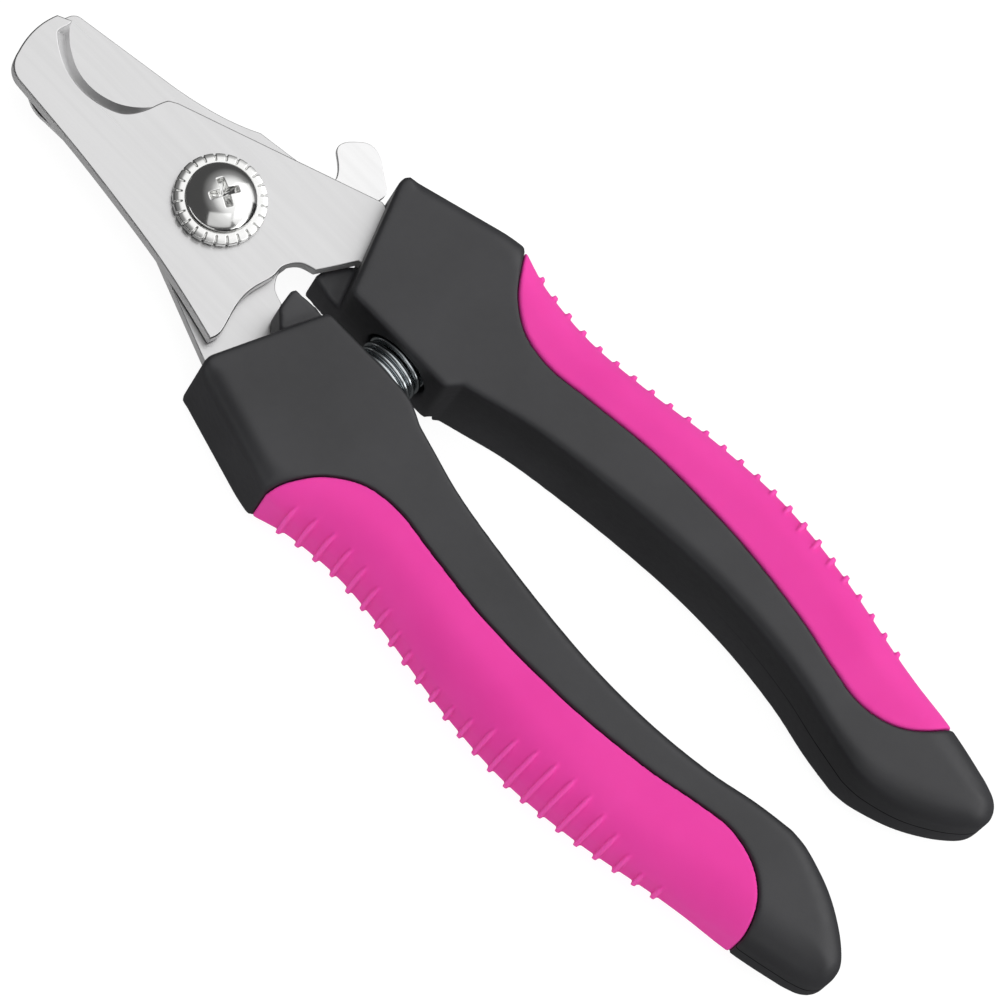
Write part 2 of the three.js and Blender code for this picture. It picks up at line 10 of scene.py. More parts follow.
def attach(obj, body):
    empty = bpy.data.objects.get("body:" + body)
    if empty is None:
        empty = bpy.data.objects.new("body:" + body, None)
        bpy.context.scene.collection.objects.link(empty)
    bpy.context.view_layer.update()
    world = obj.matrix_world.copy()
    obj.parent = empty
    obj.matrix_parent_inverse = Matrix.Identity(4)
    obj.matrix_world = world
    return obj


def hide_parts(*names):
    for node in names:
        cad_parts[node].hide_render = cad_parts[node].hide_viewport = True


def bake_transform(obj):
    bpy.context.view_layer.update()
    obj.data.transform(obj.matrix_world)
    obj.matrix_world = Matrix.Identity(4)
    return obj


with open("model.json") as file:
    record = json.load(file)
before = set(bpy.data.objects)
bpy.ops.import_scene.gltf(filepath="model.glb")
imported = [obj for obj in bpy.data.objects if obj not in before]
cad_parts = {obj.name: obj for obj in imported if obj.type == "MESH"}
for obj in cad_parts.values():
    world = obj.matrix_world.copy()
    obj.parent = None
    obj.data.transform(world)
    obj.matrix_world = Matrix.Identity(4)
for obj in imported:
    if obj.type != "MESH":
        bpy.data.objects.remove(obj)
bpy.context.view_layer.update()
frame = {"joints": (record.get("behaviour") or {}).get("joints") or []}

# Shapes are worked out in millimetres in a frame whose origin is the pivot at the mid plane between the
# blades, with +X to the tips. The lower handle is on the +Y side; the upper one is the same, turned over.
JOINTS = {joint["name"]: joint for joint in frame["joints"]}
PIVOT = np.array(JOINTS["handle_pivot"]["pos_m"])
MM = 0.001
GAP = 0.3
HALF = 7.75                 # half thickness of a handle at its head
BLADE = 1.9                 # blade thickness
BLADE_TOP = GAP / 2 + BLADE
RING_BOTTOM = BLADE_TOP + GAP
RING_TOP = RING_BOTTOM + 1.2
RING_RADIUS = 6.3
RING_TEETH = 24
HEAD_BOTTOM = RING_TOP + GAP
DOME_RADIUS = 5
DOME_RISE = 2.3
SHANK_RADIUS = 2.45
BORE_RADIUS = 2.75          # hole of every piece on the pivot screw
GUARD_TOP = -BLADE_TOP - GAP
GUARD_SHEET = 0.8
WASHER_TOP = GUARD_TOP - GUARD_SHEET - GAP
WASHER_SHEET = 0.5
NUT_TOP = WASHER_TOP - WASHER_SHEET - GAP
NUT_BOTTOM = NUT_TOP - 2.6
LOCK_PIVOT = (-23.0, 8.5)
LOCK_CATCH = (-23.0, -5.0)
SPRING_PLACE = (-31, 0.4)   # x and z of the return spring's axis
COIL = 4.2                  # coil radius to the middle of the wire
WIRE = 0.9
POCKET_DEPTH = 8.2          # floor of each spring pocket, from the mid line
GRIP_SPLIT = 0.07           # half the parting gap between a grip and its handle
RIVET_HOLE = 1.6
RECESS_FLOOR = 2.2 - HALF
LEVER_TOP = RECESS_FLOOR - GAP
LEVER_BOTTOM = LEVER_TOP - 1.1


# ---------- curves in the plan ----------
def spline(points, steps=10):
    """Uniform Catmull-Rom curve through the points, the first point left out."""
    p = np.array(points, float)
    last = len(p) - 1
    found = []
    for i in range(last):
        before, a, b, after = p[max(i - 1, 0)], p[i], p[i + 1], p[min(i + 2, last)]
        for k in range(1, steps + 1):
            t = k / steps
            u, v = (b - before) / 2, (after - a) / 2
            found.append((2 * a - 2 * b + u + v) * t**3 + (-3 * a + 3 * b - 2 * u - v) * t**2 + u * t + a)
    return np.array(found)


def bend(a, corner, b, steps=10):
    """Quadratic curve from a to b drawn towards corner, the first point left out."""
    t = np.linspace(0, 1, steps + 1)[1:, None]
    return (1 - t) ** 2 * np.array(a) + 2 * t * (1 - t) * np.array(corner) + t**2 * np.array(b)


def arc(centre, radius, start, end, steps=24):
    angle = np.linspace(start, end, steps + 1)
    return np.c_[centre[0] + radius * np.cos(angle), centre[1] + radius * np.sin(angle)]


def line(a, b, steps=6):
    t = np.linspace(0, 1, steps + 1)[1:, None]
    return (1 - t) * np.array(a) + t * np.array(b)


OUTER = [(-31.5, 24.9), (-39.5, 23.6), (-47, 23.1), (-56, 24), (-67, 25.7), (-79, 26.5), (-91, 25.4),
         (-104, 22.8), (-116, 20.7), (-123.5, 19)]
TOE = [(-123.5, 19), (-125.8, 18.1), (-127.1, 16.8), (-127.4, 15.1), (-126.6, 13.2), (-123.5, 10.4),
       (-118.9, 7.7), (-113.6, 6.1), (-110.2, 5.9)]
HEAD_FRONT = [(-20.4, 3.0), (-14.6, 17.6)]
INNER = [(-110.2, 5.9), (-104, 7.1), (-97, 8.7), (-88, 9.8), (-78, 10), (-67, 9.2), (-56, 7.9), (-49, 6.7),
         (-43, 5), (-39.6, 4)]
BOXED_WAIST = np.vstack([[(-38.4, 2.4)], bend((-38.4, 2.4), (-38.1, 2), (-37.6, 2), 4)])
SWEPT_WAIST = spline([(-39.6, 4), (-36, 2.4), (-31, 2)])


def handle_outline(waist):
    """Plan of a handle, with the given end to its inner edge beside the spring."""
    return np.vstack([
        HEAD_FRONT, bend((-14.6, 17.6), (-14, 19.6), (-16.4, 20.4)), [OUTER[0]],
        spline(OUTER), spline(TOE), spline(INNER), waist,
        [(-21.6, 2)], bend((-21.6, 2), (-20.8, 2), (-20.4, 3.0))[:-1],
    ])


HANDLE = handle_outline(SWEPT_WAIST)
BOXED_HANDLE = handle_outline(BOXED_WAIST)
GRIP_EDGE = [(-31.8, 25.4), (-33.4, 22), (-36.2, 18.2), (-40.5, 15.3), (-46, 14.5), (-53, 15.4), (-64, 16.6),
             (-78, 16.5), (-91, 15), (-99, 13.3), (-104.5, 12.5), (-109.5, 13.6), (-113.2, 16.4),
             (-115.6, 20.6), (-116.4, 25)]
GRIP_AREA = np.vstack([[(-31.4, 34)], [GRIP_EDGE[0]], spline(GRIP_EDGE), [(-117, 34)]])
OUTER_LINE = np.vstack([[(-15, 20)], [OUTER[0]], spline(OUTER), [(-127.4, 15.4)]])
INNER_LINE = np.vstack([
    [(-127.4, 14.6), (-126.6, 13.2), (-118.9, 7.7), (-113.6, 6.1)], spline(INNER), [(-21, 2)],
])
GRIP_LINE = spline(GRIP_EDGE)


def height_at(curve, x):
    """y of a plan curve at x."""
    order = np.argsort(curve[:, 0])
    return np.interp(x, curve[order, 0], curve[order, 1])


# ---------- distance fields ----------
def plan_distance(outline, x, y):
    """Signed distance to a closed outline in the plan, negative inside. x and y are 2-D grids."""
    px, py = x.ravel(), y.ravel()
    nearest = np.full(px.shape, 1e9)
    inside = np.zeros(px.shape, bool)
    for (ax, ay), (bx, by) in zip(outline, np.roll(outline, -1, 0)):
        ex, ey = bx - ax, by - ay
        wx, wy = px - ax, py - ay
        t = np.clip((wx * ex + wy * ey) / max(ex * ex + ey * ey, 1e-12), 0, 1)
        nearest = np.minimum(nearest, (wx - t * ex) ** 2 + (wy - t * ey) ** 2)
        if ay != by:
            inside ^= ((ay > py) != (by > py)) & (px < ex * (py - ay) / ey + ax)
    return (np.where(inside, -1, 1) * np.sqrt(nearest)).reshape(x.shape)


def both(a, b, r=0.3):
    """Intersection of two solids, with the edge between them rounded to radius r."""
    corner = np.sqrt(np.maximum(a + r, 0) ** 2 + np.maximum(b + r, 0) ** 2)
    return np.minimum(np.maximum(a, b), -r) + corner


def either(a, b, r=0.3):
    return -both(-a, -b, r)


def without(a, b, r=0.3):
    return both(a, -b, r)


def ease(low, high, value):
    t = np.clip((value - low) / (high - low), 0, 1)
    return t * t * (3 - 2 * t)


def between(value, low, high):
    return np.abs(value - (low + high) / 2) - (high - low) / 2


def cylinder(u, v, centre, radius):
    return np.hypot(u - centre[0], v - centre[1]) - radius


# ---------- meshes ----------
def new_object(name, points_mm, faces, normals, material, slot_name):
    """A mesh from points in millimetres, with its own normals, given its material. slot_name is not used."""
    mesh = bpy.data.meshes.new(name)
    points = PIVOT + np.asarray(points_mm, float) * MM
    if isinstance(faces, np.ndarray):
        mesh.vertices.add(len(points))
        mesh.vertices.foreach_set("co", points.astype(np.float32).ravel())
        mesh.loops.add(faces.size)
        mesh.loops.foreach_set("vertex_index", faces.astype(np.int32).ravel())
        mesh.polygons.add(len(faces))
        mesh.polygons.foreach_set("loop_start", np.arange(0, faces.size, faces.shape[1], dtype=np.int32))
        mesh.update(calc_edges=True)
    else:
        mesh.from_pydata(points.tolist(), [], [list(map(int, face)) for face in faces])
    mesh.validate()
    mesh.polygons.foreach_set("use_smooth", np.ones(len(mesh.polygons), bool))
    if normals is not None:
        mesh.normals_split_custom_set_from_vertices(normals.tolist())
    mesh.materials.append(material)
    made = bpy.data.objects.new(name, mesh)
    bpy.context.scene.collection.objects.link(made)
    return made


def skin(field, low, high, step):
    """Points, quads and normals of the surface where field(x, y, z) is zero, on a grid of the given steps."""
    axes = [np.arange(low[k] - 2 * step[k], high[k] + 3 * step[k], step[k]) for k in range(3)]
    x, y = np.meshgrid(axes[0], axes[1], indexing="ij")
    value = field(x[:, :, None], y[:, :, None], axes[2][None, None, :], x, y)
    value = np.where(value == 0, 1e-6, value)
    cells = tuple(n - 1 for n in value.shape)
    total = np.zeros(cells + (3,))
    count = np.zeros(cells)
    crossings = []
    for axis in range(3):
        first = [slice(None)] * 3
        second = [slice(None)] * 3
        first[axis], second[axis] = slice(None, -1), slice(1, None)
        a, b = value[tuple(first)], value[tuple(second)]
        crossed = (a < 0) != (b < 0)
        crossings.append((crossed, a < 0))
        where = np.argwhere(crossed)
        share = (a[crossed] / (a[crossed] - b[crossed]))
        spot = where.astype(float)
        spot[:, axis] += share
        others = [k for k in range(3) if k != axis]
        for first_back in (0, 1):
            for second_back in (0, 1):
                cell = where.copy()
                cell[:, others[0]] -= first_back
                cell[:, others[1]] -= second_back
                fits = np.all((cell >= 0) & (cell < np.array(cells)), axis=1)
                index = tuple(cell[fits].T)
                np.add.at(total, index, spot[fits])
                np.add.at(count, index, 1)
    active = count > 0
    number = np.full(cells, -1)
    number[active] = np.arange(active.sum())
    grid = total[active] / count[active][:, None]
    quads = []
    for axis in range(3):
        crossed, starts_inside = crossings[axis]
        others = [k for k in range(3) if k != axis]
        where = np.argwhere(crossed)
        fits = np.all((where[:, others] >= 1) & (where[:, others] < np.array(cells)[others]), axis=1)
        where = where[fits]
        corners = []
        for first_back, second_back in ((1, 1), (0, 1), (0, 0), (1, 0)):
            cell = where.copy()
            cell[:, others[0]] -= first_back
            cell[:, others[1]] -= second_back
            corners.append(number[tuple(cell.T)])
        quad = np.stack(corners, 1)
        outward = starts_inside[tuple(where.T)]
        if axis == 1:
            outward = ~outward
        quad[~outward] = quad[~outward][:, ::-1]
        quads.append(quad)
    quads = np.vstack(quads)
    slopes = np.gradient(value, *step)
    base = np.clip(np.floor(grid).astype(int), 0, np.array(value.shape) - 2)
    part = grid - base
    normals = np.zeros_like(grid)
    for corner in np.ndindex(2, 2, 2):
        weight = np.prod(np.where(np.array(corner), part, 1 - part), axis=1)
        index = tuple((base + np.array(corner)).T)
        for k in range(3):
            normals[:, k] += weight * slopes[k][index]
    normals /= np.maximum(np.linalg.norm(normals, axis=1), 1e-9)[:, None]
    points = np.stack([axes[k][0] + grid[:, k] * step[k] for k in range(3)], 1)
    return points, quads, normals


def turned(shape):
    """The same surface turned half a turn about the X axis."""
    points, quads, normals = shape
    flip = np.array([1, -1, -1])
    return points * flip, quads, normals * flip


def anticlockwise(loop):
    x, y = loop[:, 0], loop[:, 1]
    return np.sum(x * np.roll(y, -1) - np.roll(x, -1) * y) > 0


def inward_vectors(outline):
    edge = np.roll(outline, -1, 0) - outline
    edge /= np.maximum(np.linalg.norm(edge, axis=1), 1e-9)[:, None]
    before = np.roll(edge, 1, 0)
    side = 1 if anticlockwise(outline) else -1
    normal = np.c_[-(edge + before)[:, 1], (edge + before)[:, 0]]
    normal /= np.maximum(np.linalg.norm(normal, axis=1), 1e-9)[:, None]
    cosine = np.sum(normal * np.c_[-before[:, 1], before[:, 0]], axis=1)
    return side * normal, np.minimum(1 / np.maximum(cosine, 0.3), 1.6)


def plate(outline, low, high, edge=0.12, holes=(), grind=None, grind_width=1.8, land=0.25, roll=None):
    """A sheet piece with rounded edges. grind gives, at each outline point, how wide the hollow grind is
    (0 to 1) on its upper side, above a thin land. roll is the radius of the outline's upper edge."""
    roll = edge if roll is None else roll
    # A ring is (inset, z, upward part of its normal, kind), where kind is 0 on the lower edge, 1 on the grind
    # and 2 on the upper edge.
    points, faces, normals, caps = [], [], [], ([], [])
    steps = 4
    for loop_index, outline_points in enumerate([outline, *holes]):
        loop = np.asarray(outline_points, float)
        inward, mitre = inward_vectors(loop)
        if loop_index:
            inward = -inward
        count = len(loop)
        rings = []
        for k in range(steps + 1):
            c, s = math.cos(k / steps * math.pi / 2), math.sin(k / steps * math.pi / 2)
            rings.append((edge * (1 - s), low + edge * (1 - c), -c, 0))
        weight = grind if grind is not None and loop_index == 0 else np.zeros(count)
        if weight.any():
            hollow = 8
            rings.append((0, low + land - 0.02, 0, 0))
            for k in range(hollow + 1):
                t = 0.97 * k / hollow
                depth = 1 - math.sqrt(max(1 - t * t, 0)) * 0.55 - 0.45 * (1 - t)
                rings.append((t, low + land + (high - roll - low - land) * depth, 0, 1))
        for k in range(steps + 1):
            c, s = math.cos(k / steps * math.pi / 2), math.sin(k / steps * math.pi / 2)
            rings.append((roll * (1 - c), high - roll * (1 - s), s, 2))
        start = len(points)
        for inset, z, tilt, kind in rings:
            amount = inset * weight * grind_width if kind == 1 else np.full(count, float(inset))
            if kind == 2:
                amount = amount + weight * grind_width
            moved = loop + inward * (mitre * amount)[:, None]
            flat = math.sqrt(max(1 - tilt * tilt, 0))
            rise = np.full(count, float(tilt))
            if kind == 1:
                rise = 0.6 * weight
            out = np.sqrt(np.maximum(1 - rise**2, 0)) if kind == 1 else np.full(count, flat)
            for i in range(count):
                points.append((moved[i, 0], moved[i, 1], z))
                normals.append((-inward[i, 0] * out[i], -inward[i, 1] * out[i], rise[i]))
        ring_count = len(rings)
        for r in range(ring_count - 1):
            for i in range(count):
                j = (i + 1) % count
                a, b = start + r * count + i, start + r * count + j
                quad = (a, b, b + count, a + count)
                faces.append(quad if anticlockwise(loop) != bool(loop_index) else quad[::-1])
        caps[0].append(list(range(start, start + count)))
        caps[1].append(list(range(start + (ring_count - 1) * count, start + ring_count * count)))
    for top, loops in enumerate(caps):
        flat_points = [[Vector((*points[i][:2], 0)) for i in loop] for loop in loops]
        index = [i for loop in loops for i in loop]
        for triangle in tessellate_polygon(flat_points):
            a, b, c = (index[i] for i in triangle)
            pa, pb, pc = (np.array(points[i][:2]) for i in (a, b, c))
            upward = np.cross(pb - pa, pc - pa) > 0
            faces.append((a, b, c) if upward == bool(top) else (c, b, a))
    return np.array(points), faces, np.array(normals)


def lathe(profile, sides, centre=(0, 0)):
    """Turned piece about a vertical axis. A profile entry is (radius, z, outward and upward part of normal)."""
    points, faces, normals = [], [], []
    for r, z, out, rise in profile:
        for i in range(sides):
            angle = 2 * math.pi * i / sides
            c, s = math.cos(angle), math.sin(angle)
            points.append((centre[0] + r * c, centre[1] + r * s, z))
            normals.append((out * c, out * s, rise))
    for k in range(len(profile) - 1):
        for i in range(sides):
            j = (i + 1) % sides
            a, b = k * sides + i, k * sides + j
            faces.append((a, b, b + sides, a + sides))
    if profile[0][0] > 1e-6 and np.hypot(profile[0][0] - profile[-1][0], profile[0][1] - profile[-1][1]) < 1e-6:
        return weld(np.array(points), faces, np.array(normals), sides)
    faces.append(tuple(reversed(range(sides))))
    faces.append(tuple(range((len(profile) - 1) * sides, len(profile) * sides)))
    return np.array(points), faces, np.array(normals)


def weld(points, faces, normals, sides):
    """Joins the last ring of a closed profile to its first."""
    last = len(points) - sides
    merged = [tuple(i - last if i >= last else i for i in face) for face in faces]
    return points[:last], merged, normals[:last]


def rounded_profile(corners, radius, steps=4):
    """Profile through (r, z) corners listed anticlockwise in the r-z plane, each rounded, with normals."""
    p = np.array(corners, float)
    found = []
    for i in range(len(p)):
        before, here, after = p[i - 1], p[i], p[(i + 1) % len(p)]
        into = (here - before) / np.linalg.norm(here - before)
        out = (after - here) / np.linalg.norm(after - here)
        n_in, n_out = np.array([into[1], -into[0]]), np.array([out[1], -out[0]])
        if here[0] < 1e-6:
            found.append((0.02, here[1], 0, n_in[1] if before[0] > 1e-6 else n_out[1]))
            continue
        size = min(radius, np.linalg.norm(here - before) * 0.45, np.linalg.norm(after - here) * 0.45)
        cosine = max(float(n_in @ n_out), -0.99)
        reach = size * math.tan(math.acos(min(cosine, 1)) / 2) if cosine < 1 else 0
        start, end = here - into * reach, here + out * reach
        for k in range(steps + 1):
            t = k / steps
            n = n_in * (1 - t) + n_out * t
            n /= np.linalg.norm(n)
            spot = start * (1 - t) ** 2 + here * 2 * t * (1 - t) + end * t**2
            found.append((spot[0], spot[1], n[0], n[1]))
    return found


# ---------- materials ----------
def node_material(name):
    material = bpy.data.materials.new(name)
    material.use_nodes = True
    tree = material.node_tree
    shader = tree.nodes["Principled BSDF"]
    where = tree.nodes.new("ShaderNodeTexCoord")
    return material, tree, shader, where.outputs["Object"]


def noise(tree, where, scale, detail=4.0, rough=0.55, stretch=(1, 1, 1), turn=0.0):
    mapping = tree.nodes.new("ShaderNodeMapping")
    mapping.inputs["Scale"].default_value = stretch
    mapping.inputs["Rotation"].default_value = (0, 0, turn)
    texture = tree.nodes.new("ShaderNodeTexNoise")
    texture.inputs["Scale"].default_value = scale
    texture.inputs["Detail"].default_value = detail
    texture.inputs["Roughness"].default_value = rough
    tree.links.new(where, mapping.inputs["Vector"])
    tree.links.new(mapping.outputs["Vector"], texture.inputs["Vector"])
    return texture.outputs["Fac"]


def ramp(tree, value, stops):
    node = tree.nodes.new("ShaderNodeValToRGB")
    while len(node.color_ramp.elements) < len(stops):
        node.color_ramp.elements.new(0.5)
    for element, (place, colour) in zip(node.color_ramp.elements, stops):
        element.position = place
        element.color = (*colour, 1) if len(colour) == 3 else colour
    tree.links.new(value, node.inputs["Fac"])
    return node.outputs["Color"]


def spread(tree, value, low, high):
    node = tree.nodes.new("ShaderNodeMapRange")
    node.inputs["To Min"].default_value = low
    node.inputs["To Max"].default_value = high
    tree.links.new(value, node.inputs["Value"])
    return node.outputs["Result"]


def bump(tree, shader, heights):
    """Chains bump maps of (height, strength, distance in metres) into the shader's normal."""
    previous = None
    for height, strength, distance in heights:
        node = tree.nodes.new("ShaderNodeBump")
        node.inputs["Strength"].default_value = strength
        node.inputs["Distance"].default_value = distance
        tree.links.new(height, node.inputs["Height"])
        if previous is not None:
            tree.links.new(previous, node.inputs["Normal"])
        previous = node.outputs["Normal"]
    tree.links.new(previous, shader.inputs["Normal"])


def fade(tree, value, full, none):
    """1 where value is at full, falling to 0 at none."""
    node = tree.nodes.new("ShaderNodeMapRange")
    node.inputs["From Min"].default_value = full
    node.inputs["From Max"].default_value = none
    node.inputs["To Min"].default_value = 1
    node.inputs["To Max"].default_value = 0
    tree.links.new(value, node.inputs["Value"])
    return node.outputs["Result"]


def part_of(tree, vector, axis):
    """The X, Y or Z of a vector."""
    node = tree.nodes.new("ShaderNodeSeparateXYZ")
    tree.links.new(vector, node.inputs["Vector"])
    return node.outputs[axis]


def offset_size(tree, value, middle):
    """Distance of value from middle."""
    shift = tree.nodes.new("ShaderNodeMath")
    shift.operation = "SUBTRACT"
    shift.inputs[1].default_value = middle
    tree.links.new(value, shift.inputs[0])
    size = tree.nodes.new("ShaderNodeMath")
    size.operation = "ABSOLUTE"
    tree.links.new(shift.outputs[0], size.inputs[0])
    return size.outputs[0]


def mould_seam(tree, where):
    """1 on a thin level line at the mid plane on the upright walls near the handle's end, 0 elsewhere."""
    line_share = fade(tree, offset_size(tree, part_of(tree, where, "Z"), PIVOT[2]), 0.000085, 0.00017)
    end_share = fade(tree, part_of(tree, where, "X"), PIVOT[0] - 0.105, PIVOT[0] - 0.080)
    return product(tree, product(tree, line_share, end_share), upright(tree))


def product(tree, first, second):
    """Two values multiplied."""
    node = tree.nodes.new("ShaderNodeMath")
    node.operation = "MULTIPLY"
    tree.links.new(first, node.inputs[0])
    tree.links.new(second, node.inputs[1])
    return node.outputs[0]


def upright(tree):
    """1 on vertical walls, 0 on level faces."""
    shape = tree.nodes.new("ShaderNodeNewGeometry")
    tilt = offset_size(tree, part_of(tree, shape.outputs["True Normal"], "Z"), 0)
    return fade(tree, tilt, 0.15, 0.5)


def mix(tree, share, first, second):
    node = tree.nodes.new("ShaderNodeMix")
    node.data_type = "RGBA"
    tree.links.new(share, node.inputs["Factor"])
    for socket, value in (("A", first), ("B", second)):
        target = [s for s in node.inputs if s.name == socket and s.type == "RGBA"][0]
        if isinstance(value, tuple):
            target.default_value = (*value, 1)
        else:
            tree.links.new(value, target)
    return [s for s in node.outputs if s.type == "RGBA"][0]


def black_plastic():
    material, tree, shader, where = node_material("black_plastic")
    cloud = noise(tree, where, 55, 3)
    colour = ramp(tree, cloud, [(0.3, (0.020, 0.020, 0.022)), (0.7, (0.029, 0.029, 0.032))])
    seam = mould_seam(tree, where)
    tree.links.new(mix(tree, seam, colour, (0.002, 0.002, 0.002)), shader.inputs["Base Color"])
    tree.links.new(spread(tree, seam, 0.52, 0.0), shader.inputs["Specular IOR Level"])
    grain = noise(tree, where, 2600, 2)
    tree.links.new(spread(tree, noise(tree, where, 900, 2), 0.40, 0.54), shader.inputs["Roughness"])
    pebbles = noise(tree, where, 420, 3)
    bump(tree, shader, [(grain, 0.24, 0.00004), (pebbles, 0.16, 0.00008), (cloud, 0.12, 0.00012)])
    return material


def pink_rubber():
    material, tree, shader, where = node_material("pink_rubber")
    cloud = noise(tree, where, 70, 3)
    colour = ramp(tree, cloud, [(0.3, (0.770, 0.052, 0.350)), (0.7, (0.815, 0.062, 0.378))])
    # Lighter pink where the ribs stand proud is a painted highlight on the rib tops.
    ridge = tree.nodes.new("ShaderNodeAttribute")
    ridge.attribute_name = "painted_rib_highlight"
    rib_highlight_colour = mix(tree, ridge.outputs["Fac"], colour, (0.88, 0.085, 0.43))
    tree.links.new(rib_highlight_colour, shader.inputs["Base Color"])
    tree.links.new(spread(tree, noise(tree, where, 700, 2), 0.50, 0.62), shader.inputs["Roughness"])
    shader.inputs["Subsurface Weight"].default_value = 0.12
    shader.inputs["Subsurface Radius"].default_value = (1.0, 0.25, 0.5)
    shader.inputs["Subsurface Scale"].default_value = 0.0012
    shader.inputs["Specular IOR Level"].default_value = 0.06
    bump(tree, shader, [(noise(tree, where, 2200, 2), 0.14, 0.00004), (cloud, 0.1, 0.0001)])
    return material


def brushed_steel(name, turn=0.0, base=(0.705, 0.703, 0.706)):
    """Fine parallel grinding marks; turn is their direction in the plan."""
    material, tree, shader, where = node_material(name)
    marks = noise(tree, where, 900, 3, 0.6, stretch=(0.025, 1, 1), turn=turn)
    fine = noise(tree, where, 3200, 2, 0.6, stretch=(0.02, 1, 1), turn=turn)
    cloud = noise(tree, where, 60, 3)
    dark = tuple(0.93 * c for c in base)
    tree.links.new(ramp(tree, marks, [(0.3, dark), (0.7, base)]), shader.inputs["Base Color"])
    tree.links.new(spread(tree, upright(tree), 1, 0.45), shader.inputs["Metallic"])
    rough = tree.nodes.new("ShaderNodeMath")
    rough.operation = "ADD"
    tree.links.new(spread(tree, marks, 0.24, 0.34), rough.inputs[0])
    tree.links.new(spread(tree, cloud, -0.03, 0.05), rough.inputs[1])
    tree.links.new(rough.outputs[0], shader.inputs["Roughness"])
    shader.inputs["Anisotropic"].default_value = 0.35
    bump(tree, shader, [(marks, 0.10, 0.00002), (fine, 0.10, 0.00001)])
    return material


def polished(name, base, low, high):
    material, tree, shader, where = node_material(name)
    wear = noise(tree, where, 500, 4)
    dark = tuple(0.96 * c for c in base)
    tree.links.new(ramp(tree, wear, [(0.3, dark), (0.7, base)]), shader.inputs["Base Color"])
    shader.inputs["Metallic"].default_value = 1
    tree.links.new(spread(tree, wear, low, high), shader.inputs["Roughness"])
    bump(tree, shader, [(noise(tree, where, 1500, 3), 0.05, 0.00001)])
    return material


BLACK = black_plastic()
PINK = pink_rubber()
STEEL = brushed_steel("blade_steel", turn=math.radians(70))
SHEET = brushed_steel("sheet_steel", turn=math.radians(10), base=(0.90, 0.898, 0.90))
CHROME = polished("bright_chrome", (0.86, 0.86, 0.85), 0.10, 0.17)
ZINC = polished("zinc_plate", (0.62, 0.66, 0.68), 0.16, 0.28)


# ---------- handles ----------
def half_thickness(x):
    t = np.clip((-62 - x) / 68.3, 0, 1)
    return HALF * (1 - 0.14 * t * t)


def blank_field(x, y, z, plan):
    """The whole handle: flat faces, crisp at the head, softly rounded along the waist, the grip and the toe."""
    middle = (height_at(OUTER_LINE, x) + height_at(INNER_LINE, x)) / 2
    outside = ease(-2, 2, y - middle)
    toe = ease(-104, -120, x)
    inner_round = 0.8 + 1.0 * ease(-44, -75, x) + 1.9 * toe
    outer_round = 2.6 + 3.2 * ease(-28, -38, x) - 0.8 * toe
    radius = inner_round * (1 - outside) + outer_round * outside
    (ax, ay), (bx, by) = HEAD_FRONT
    behind_front = ((by - ay) * (ax - x) + (bx - ax) * (y - ay)) / math.hypot(bx - ax, by - ay)
    radius = 0.7 + (radius - 0.7) * ease(0.5, 2.6, behind_front)
    edge = height_at(GRIP_LINE, x)
    across = np.clip((y - edge) / np.maximum(height_at(OUTER_LINE, x) - edge, 1), 0, 1)
    grip_run = ease(-32, -40, x) * ease(-115, -108, x)
    crown = 0.45 * across**2 * grip_run
    return both(plan, np.abs(z) - half_thickness(x) + crown, radius)


RIB_COUNT = 24
RIB_PITCH = 2.93
FIRST_RIB = -36.3


def rib_reach(index):
    """How far a rib runs from the mid plane along the rounded side: long by the head, short, then longest."""
    return max(5.9 * (1 - ((index - 2) / 7) ** 2), 8.3 * (1 - ((index - 16.5) / 6.3) ** 2), 2.3)


def contour_run(y, z, outer, half, radius):
    """Length along the side's contour from the mid plane to a point."""
    across, up = y - (outer - radius), np.abs(z) - (half - radius)
    turn = np.where(across > 0, radius * np.arctan2(np.maximum(up, 0), np.maximum(across, 1e-6)),
                    radius * math.pi / 2 - across)
    return np.where(up > 0, half - radius + turn, np.abs(z))


def rail_field(x, y, z, clearance):
    lifted = plan_distance(HANDLE, x[:, :, 0], y[:, :, 0] + 2.2)[:, :, None]
    return both(lifted, np.abs(z) - half_thickness(x) + 2.2, 3.2) - clearance


def grip_field(x, y, z, px, py):
    plan = plan_distance(HANDLE, px, py)[:, :, None]
    area = plan_distance(GRIP_AREA, px, py)[:, :, None]
    blank = blank_field(x, y, z, plan)
    ribs = np.full(blank.shape, 9.0)
    for index in range(RIB_COUNT):
        rib_x = FIRST_RIB - RIB_PITCH * index
        lane = slice(*np.searchsorted(px[:, 0], [rib_x - 1.2, rib_x + 1.2]))
        run = contour_run(y[lane], z, float(height_at(OUTER_LINE, rib_x)), float(half_thickness(rib_x)), 5.8)
        reach = np.where(z < 0, max(rib_reach(index), 5.4), rib_reach(index))
        grow = np.sqrt(np.clip((reach - run) / 1.6, 0, 1))
        part = both(np.abs(x[lane] - rib_x) - 0.12 - 0.23 * grow, blank[lane] - 0.58 * grow, 0.16)
        ribs[lane] = np.minimum(ribs[lane], np.where(grow > 0, part, 9.0))
    ribs = both(ribs, np.abs(z) - HALF, 0.2)
    whole = either(blank, ribs, 0.08)
    return without(both(whole, area + GRIP_SPLIT, 0.35), rail_field(x, y, z, GAP), 0.3)


EAR = np.array([(-22, 2.2), (-19, 2.2), (-15.6, 2.9), (-15.4, 3.4), (-15.9, 6.1), (-18.2, 8.2), (-22, 8.2)])
TANG = np.array([(-11, 16), (-14.4, 16.4), (-24, 15.4), (-40, 13.2), (-40, 10.2), (-24, 8.6), (-18, 8),
                 (-15.5, 4), (-11, 4)])


def spring_pocket(x, y, z, side):
    well = both(cylinder(x, z, SPRING_PLACE, 5), side * y - POCKET_DEPTH, 0.4)
    post = both(cylinder(x, z, SPRING_PLACE, 3), 4.2 - side * y, 0.6)
    return without(well, post, 0.3)


